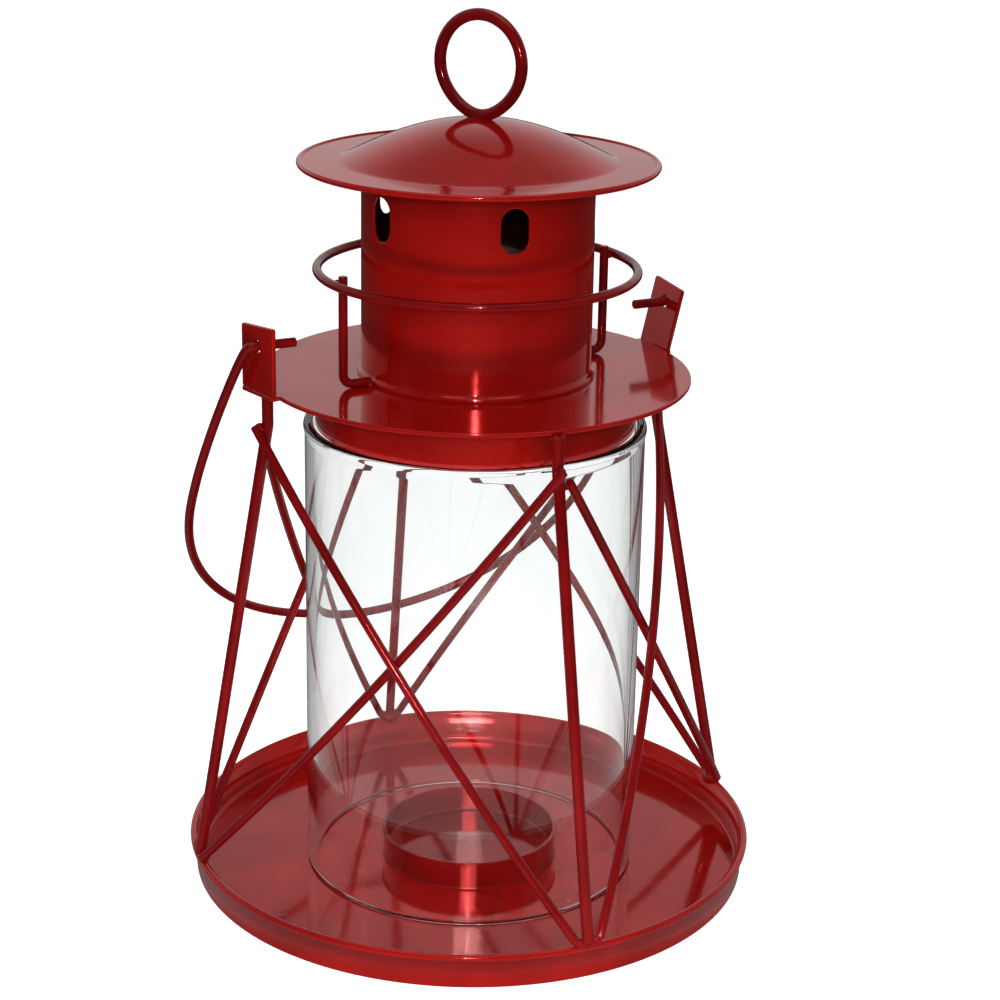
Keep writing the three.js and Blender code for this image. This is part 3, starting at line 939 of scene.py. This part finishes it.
def cap_shape():
    """The cap's sheet, with a bead rolled round its brim."""
    rim = CAP_RADIUS - CAP_BEAD
    steps = 70
    radii = [(rim - 0.25) * (1 - k / steps) for k in range(steps + 1)]
    upper = [(radius, cap_height(radius)) for radius in radii]
    under = [(radius, height - SHEET) for radius, height in reversed(upper)]
    bead = arc((rim, CAP_BRIM_Z), CAP_BEAD, -140, 140, steps=20)
    return lathed(under + bead + upper, WIDE_SEGMENTS)


add_piece("cap", cap_shape(), SHEET_ENAMEL, "cap", ["cap_shell"])
add_piece("skirt", lathed(rounded([
    (SKIRT_RADIUS - SHEET, SKIRT_BOTTOM, 0.3),
    (SKIRT_RADIUS, SKIRT_BOTTOM, 0.3),
    (SKIRT_RADIUS, cap_height(SKIRT_RADIUS) - SHEET),
    (SKIRT_RADIUS - SHEET, cap_height(SKIRT_RADIUS - SHEET) - SHEET),
])), SHEET_ENAMEL, "cap", ["cap_skirt"])


def finial_shape():
    """The upright ring, drawn down a little to the cap where it is welded."""
    centre = corner_mm("finial_ring", 0).z + FINIAL_WIRE / 2 + FINIAL_RADIUS
    line = []
    for across, up in arc((0, 0), FINIAL_RADIUS, 0, 360, steps=120)[:-1]:
        drawn_down = FINIAL_DROP * max(-up / FINIAL_RADIUS, 0) ** 6
        line.append(by_leg(FINIAL_ANGLE, across, 0, centre + up - drawn_down))
    return wire(line, FINIAL_WIRE, closed=True, sides=28)


add_piece("finial", finial_shape(), WIRE_ENAMEL, "cap", ["finial_ring"])
add_weld("finial_weld", [
    (by_leg(FINIAL_ANGLE, across, side, CAP_APEX + up), size)
    for across, side, up, size in (
        (0, 0, 0.1, 1.7), (-0.8, 0, 0.1, 1.6), (0.8, 0, 0.1, 1.6), (-1.6, 0, 0, 1.4), (1.6, 0, 0, 1.4),
        (-2.4, 0, 0, 1.1), (2.4, 0, 0, 1.1),
    )
], "cap", voxel=0.25)


# ---- floor, light and camera -----------------------------------------------------------------------

IN_GLASS = 0.36         # share of their brightness that the surroundings keep inside the glass's wall
WHITE = (1, 1, 1, 1)


def looked_at(nodes, links):
    """1 where the surroundings are looked at straight or through the glass, IN_GLASS where they are
    mirrored inside the glass, and 0 where the enamel mirrors them or they only give light."""
    path = nodes.new("ShaderNodeLightPath").outputs
    bounces = calculated(nodes, links, "ADD", path["Glossy Depth"], path["Diffuse Depth"])
    straight = calculated(nodes, links, "LESS_THAN", bounces, 0.5)
    entered = calculated(nodes, links, "GREATER_THAN", path["Transmission Depth"], 0.5)
    unscattered = calculated(nodes, links, "LESS_THAN", path["Diffuse Depth"], 0.5)
    within = calculated(nodes, links, "MULTIPLY", entered, unscattered)
    mirrored = calculated(nodes, links, "MULTIPLY", within, IN_GLASS)
    return calculated(nodes, links, "MAXIMUM", straight, mirrored)


def show_when_looked_at(nodes, links, seen, otherwise, output):
    """Links one shader to the output where the surroundings are looked at, and another elsewhere."""
    either = nodes.new("ShaderNodeMixShader")
    links.new(looked_at(nodes, links), either.inputs["Fac"])
    links.new(otherwise, either.inputs[1])
    links.new(seen, either.inputs[2])
    links.new(either.outputs["Shader"], output.inputs["Surface"])


def floor_material():
    """Pale to look at. Where the glossy enamel mirrors it or takes its light it is pale close by only:
    a painted pool of light round the object, dark further out.
    """
    material, shader, nodes, links = new_material("pale_floor")
    shader.inputs["Base Color"].default_value = (0.86, 0.86, 0.86, 1)
    shader.inputs["Roughness"].default_value = 0.9
    shader.inputs["Specular IOR Level"].default_value = 0.1
    shader.inputs["Emission Color"].default_value = WHITE
    shader.inputs["Emission Strength"].default_value = 0.85
    dark = nodes.new("ShaderNodeBsdfDiffuse")
    distance = length_of(nodes, links, nodes.new("ShaderNodeTexCoord").outputs["Object"])
    # A painted pool of light on the floor: pale near the object, dark further out.
    painted_light_pool = remapped(nodes, links, distance, (0.09, 0.32), (0.35, 0.08), "SMOOTHSTEP")
    links.new(painted_light_pool, dark.inputs["Color"])
    show_when_looked_at(
        nodes, links, shader.outputs["BSDF"], dark.outputs["BSDF"], nodes["Material Output"],
    )
    return material


def add_floor(half):
    """A flat floor, half metres from its middle to each side."""
    mesh = bpy.data.meshes.new("floor")
    corners = [(x * half, y * half, 0) for x, y in ((-1, -1), (1, -1), (1, 1), (-1, 1))]
    mesh.from_pydata(corners, [], [(0, 1, 2, 3)])
    mesh.materials.append(floor_material())
    floor = bpy.data.objects.new("floor", mesh)
    bpy.context.scene.collection.objects.link(floor)


add_floor(half=12)


def softbox(name, place, aim, size, power):
    """A rectangle of soft light, in metres and watts, that faces the point aim."""
    light = bpy.data.lights.new(name, "AREA")
    light.shape = "RECTANGLE"
    light.size, light.size_y = size
    light.energy = power
    lamp = bpy.data.objects.new(name, light)
    bpy.context.scene.collection.objects.link(lamp)
    lamp.location = place
    lamp.rotation_euler = (Vector(aim) - Vector(place)).to_track_quat("-Z", "Y").to_euler()
    return lamp


CAMERA_PLACE = Vector((-0.2320, -0.5732, 0.3145))
CAMERA_AIM = Vector((0.3651, 0.8737, -0.3216))
CAMERA_ROLL = 1.06
CAMERA_LENS = 87.8
AWAY_FROM_CAMERA = (0.386, 0.922, 0.0)
OBJECT_MIDDLE = (0, 0, 0.1)

softbox("overhead", (0.0, -0.1, 1.5), OBJECT_MIDDLE, size=(1.2, 1.2), power=3.2)

above_camera = CAMERA_PLACE * 1.35 + Vector((0, 0, 0.08))
front = softbox("front", above_camera, OBJECT_MIDDLE, size=(0.3, 0.3), power=4.2)
front.visible_glossy = False

# Light that the table throws back up at the front of the object.
table_glow = softbox("table_glow", (-0.116, -0.277, 0.02), (0, 0, 0.12), size=(0.25, 0.03), power=0.68)
table_glow.visible_glossy = False
table_glow.visible_transmission = False
table_glow.visible_camera = False

# The small lamp whose streaks run down the tray, the cup and the chimney.
lamp_place = CAMERA_PLACE * 1.12 + Vector((0, 0, 0.02))
softbox("beside_camera", lamp_place, OBJECT_MIDDLE, size=(0.022, 0.022), power=1.3)


def pale_room():
    """The world: plain and pale to look at. As a light it is brightest low down behind the object."""
    world = bpy.data.worlds.new("pale_room")
    world.use_nodes = True
    nodes, links = world.node_tree.nodes, world.node_tree.links
    direction = nodes.new("ShaderNodeTexCoord").outputs["Generated"]
    away = nodes.new("ShaderNodeVectorMath")
    away.operation = "DOT_PRODUCT"
    away.inputs[1].default_value = AWAY_FROM_CAMERA
    links.new(direction, away.inputs[0])
    brightness = remapped(nodes, links, away.outputs["Value"], (-0.5, 0.8), (0.06, 0.55))
    parts = nodes.new("ShaderNodeSeparateXYZ")
    links.new(direction, parts.inputs[0])
    height = remapped(nodes, links, parts.outputs["Z"], (0.4, 0.75), (1.0, 0.6))
    room = nodes["Background"]
    room.inputs["Color"].default_value = WHITE
    links.new(calculated(nodes, links, "MULTIPLY", brightness, height), room.inputs["Strength"])
    seen = nodes.new("ShaderNodeBackground")
    seen.inputs["Color"].default_value = WHITE
    show_when_looked_at(
        nodes, links, seen.outputs["Background"], room.outputs["Background"], nodes["World Output"],
    )
    return world


bpy.context.scene.world = pale_room()

camera_data = bpy.data.cameras.new("camera")
camera_data.sensor_width = 36
camera_data.lens = CAMERA_LENS
camera_data.clip_start = 0.01
camera_data.clip_end = 100
camera = bpy.data.objects.new("camera", camera_data)
bpy.context.scene.collection.objects.link(camera)
level = CAMERA_AIM.to_track_quat("-Z", "Y").to_matrix().to_4x4()
camera.matrix_world = Matrix.Translation(CAMERA_PLACE) @ level @ turn("Z", CAMERA_ROLL)
bpy.context.scene.camera = camera
bpy.context.scene.view_settings.view_transform = "Standard"
